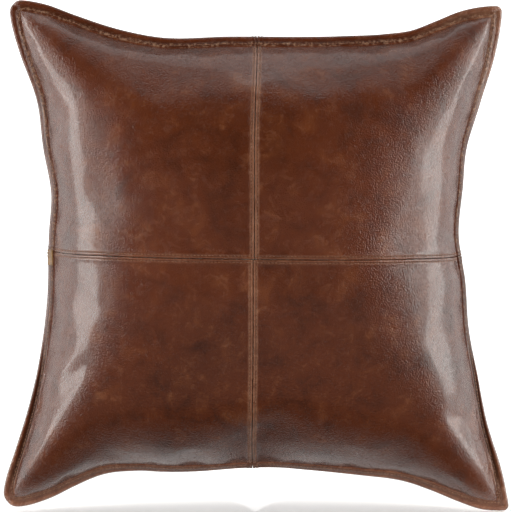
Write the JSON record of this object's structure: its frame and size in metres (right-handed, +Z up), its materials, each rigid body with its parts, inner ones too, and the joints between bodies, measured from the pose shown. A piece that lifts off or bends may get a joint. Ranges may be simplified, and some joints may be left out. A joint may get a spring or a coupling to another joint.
{
  "type": "throw pillow",
  "caption": "Square leather throw pillow with a patchwork front, a stitched flange, a zipper across the back and a soft filled insert.",
  "frame": {"origin": "on the ground under the middle of the upright pillow, at the height of its lowest corner tips", "axes": "+Z up, -Y out of the patchwork front, +Y out of the zippered back, +X to the right of someone looking at the front"},
  "size_m": [0.546, 0.2111, 0.549],
  "materials": {
    "leather": "gloss",
    "leather_back": "satin",
    "patch_leather": "matte",
    "thread": "matte",
    "tape": "matte",
    "coil": "satin",
    "antique_brass": "satin",
    "ticking": "matte",
    "ticking_thread": "matte",
    "down": "matte"
  },
  "bodies": {
    "cover": {"front_panel_top_left": "leather", "front_panel_top_right": "leather", "front_panel_bottom_left": "leather", "front_panel_bottom_right": "leather", "back_panel_upper": "leather_back", "back_panel_lower": "leather_back", "seam_end_patch": "patch_leather", "cross_seam_stitch_upper": "thread", "cross_seam_stitch_lower": "thread", "top_seam_stitch_left": "thread", "top_seam_stitch_right": "thread", "bottom_seam_stitch_left": "thread", "bottom_seam_stitch_right": "thread", "flange_stitch_front": "thread", "flange_stitch_back": "thread", "zipper_stitch_upper": "thread", "zipper_stitch_lower": "thread", "zipper_tape_upper": "tape", "zipper_tape_lower": "tape", "zipper_coil_upper": "coil", "zipper_coil_lower": "coil", "zipper_stop_closed_end": "antique_brass", "zipper_stop_open_end": "antique_brass", "insert_ticking_front": "ticking", "insert_ticking_back": "ticking", "insert_closing_stitch": "ticking_thread", "insert_fill": "down"},
    "slider": {"zipper_slider": "antique_brass"},
    "pull_tab": {"zipper_pull_tab": "antique_brass"}
  },
  "joints": [
    {"name": "slider_travel", "type": "hinge", "parent": "cover", "child": "slider", "pos_m": [0, -0.38719, 0.155], "axis": [0, 0, -1], "range_deg": [0, 35.01]},
    {"name": "pull_tab_flip", "type": "hinge", "parent": "slider", "child": "pull_tab", "pos_m": [-0.14524, 0.07326, 0.15384], "axis": [-0.0987, 0.3129, 0.9446], "range_deg": [0, 175]}
  ]
}
